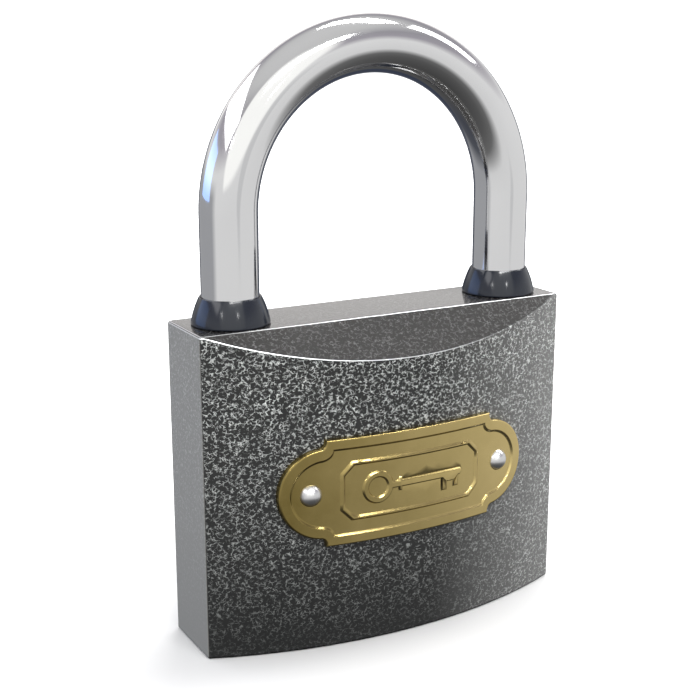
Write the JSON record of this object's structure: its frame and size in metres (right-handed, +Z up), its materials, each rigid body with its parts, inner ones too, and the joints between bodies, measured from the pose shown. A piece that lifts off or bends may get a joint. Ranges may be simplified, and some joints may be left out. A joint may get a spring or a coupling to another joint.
{
  "type": "padlock",
  "caption": "Keyed padlock with a solid bulged body, round polished shackle, conical leg collars and a riveted brass plate.",
  "frame": {"origin": "on the flat bottom face, on the axis of the turning plug, midway between the legs", "axes": "+Z up through the shackle, +X to the right seen from the name plate, +Y to the back"},
  "size_m": [0.063, 0.0256, 0.0937],
  "materials": {
    "hammertone_paint": "gloss",
    "dark_enamel": "gloss",
    "plate_brass": "satin",
    "rivet_steel": "polished",
    "shackle_chrome": "polished",
    "cylinder_brass": "satin",
    "inner_steel": "satin",
    "spring_steel": "satin"
  },
  "bodies": {
    "lock_body": {"body_casting": "hammertone_paint", "collar_left": "dark_enamel", "collar_right": "dark_enamel", "name_plate": "plate_brass", "plate_rivet_left": "rivet_steel", "plate_rivet_right": "rivet_steel", "driver_pin_1": "cylinder_brass", "driver_pin_2": "cylinder_brass", "driver_pin_3": "cylinder_brass", "driver_pin_4": "cylinder_brass", "pin_spring_1": "spring_steel", "pin_spring_2": "spring_steel", "pin_spring_3": "spring_steel", "pin_spring_4": "spring_steel", "chamber_cap_1": "cylinder_brass", "chamber_cap_2": "cylinder_brass", "chamber_cap_3": "cylinder_brass", "chamber_cap_4": "cylinder_brass", "plug_retaining_pin": "inner_steel", "bolt_bore_plug": "hammertone_paint", "shackle_retaining_pin": "inner_steel", "shackle_spring": "spring_steel"},
    "plug": {"cylinder_plug": "cylinder_brass", "key_pin_1": "cylinder_brass", "key_pin_2": "cylinder_brass", "key_pin_3": "cylinder_brass", "key_pin_4": "cylinder_brass", "cam_disc": "inner_steel"},
    "left_bolt": {"bolt_left": "inner_steel"},
    "right_bolt": {"bolt_right": "inner_steel"},
    "bow": {"shackle": "shackle_chrome"}
  },
  "joints": [
    {"name": "shackle_lift", "type": "slide", "parent": "lock_body", "child": "bow", "axis": [0, 0, 1], "range_m": [0, 0.017], "deforming": ["shackle_spring"]},
    {"name": "plug_turn", "type": "hinge", "parent": "lock_body", "child": "plug", "pos_m": [0, 0, 0.02], "axis": [0, 0, 1], "range_deg": [0, 90]},
    {"name": "left_bolt_slide", "type": "slide", "parent": "lock_body", "child": "left_bolt", "axis": [-1, 0, 0], "range_m": [0, 0.00354]},
    {"name": "right_bolt_slide", "type": "slide", "parent": "lock_body", "child": "right_bolt", "axis": [1, 0, 0], "range_m": [0, 0.00354]}
  ],
  "couplings": [
    {"joint": "left_bolt_slide", "follows": "plug_turn", "m_per_rad": 0.0022511},
    {"joint": "right_bolt_slide", "follows": "plug_turn", "m_per_rad": 0.0022511}
  ]
}
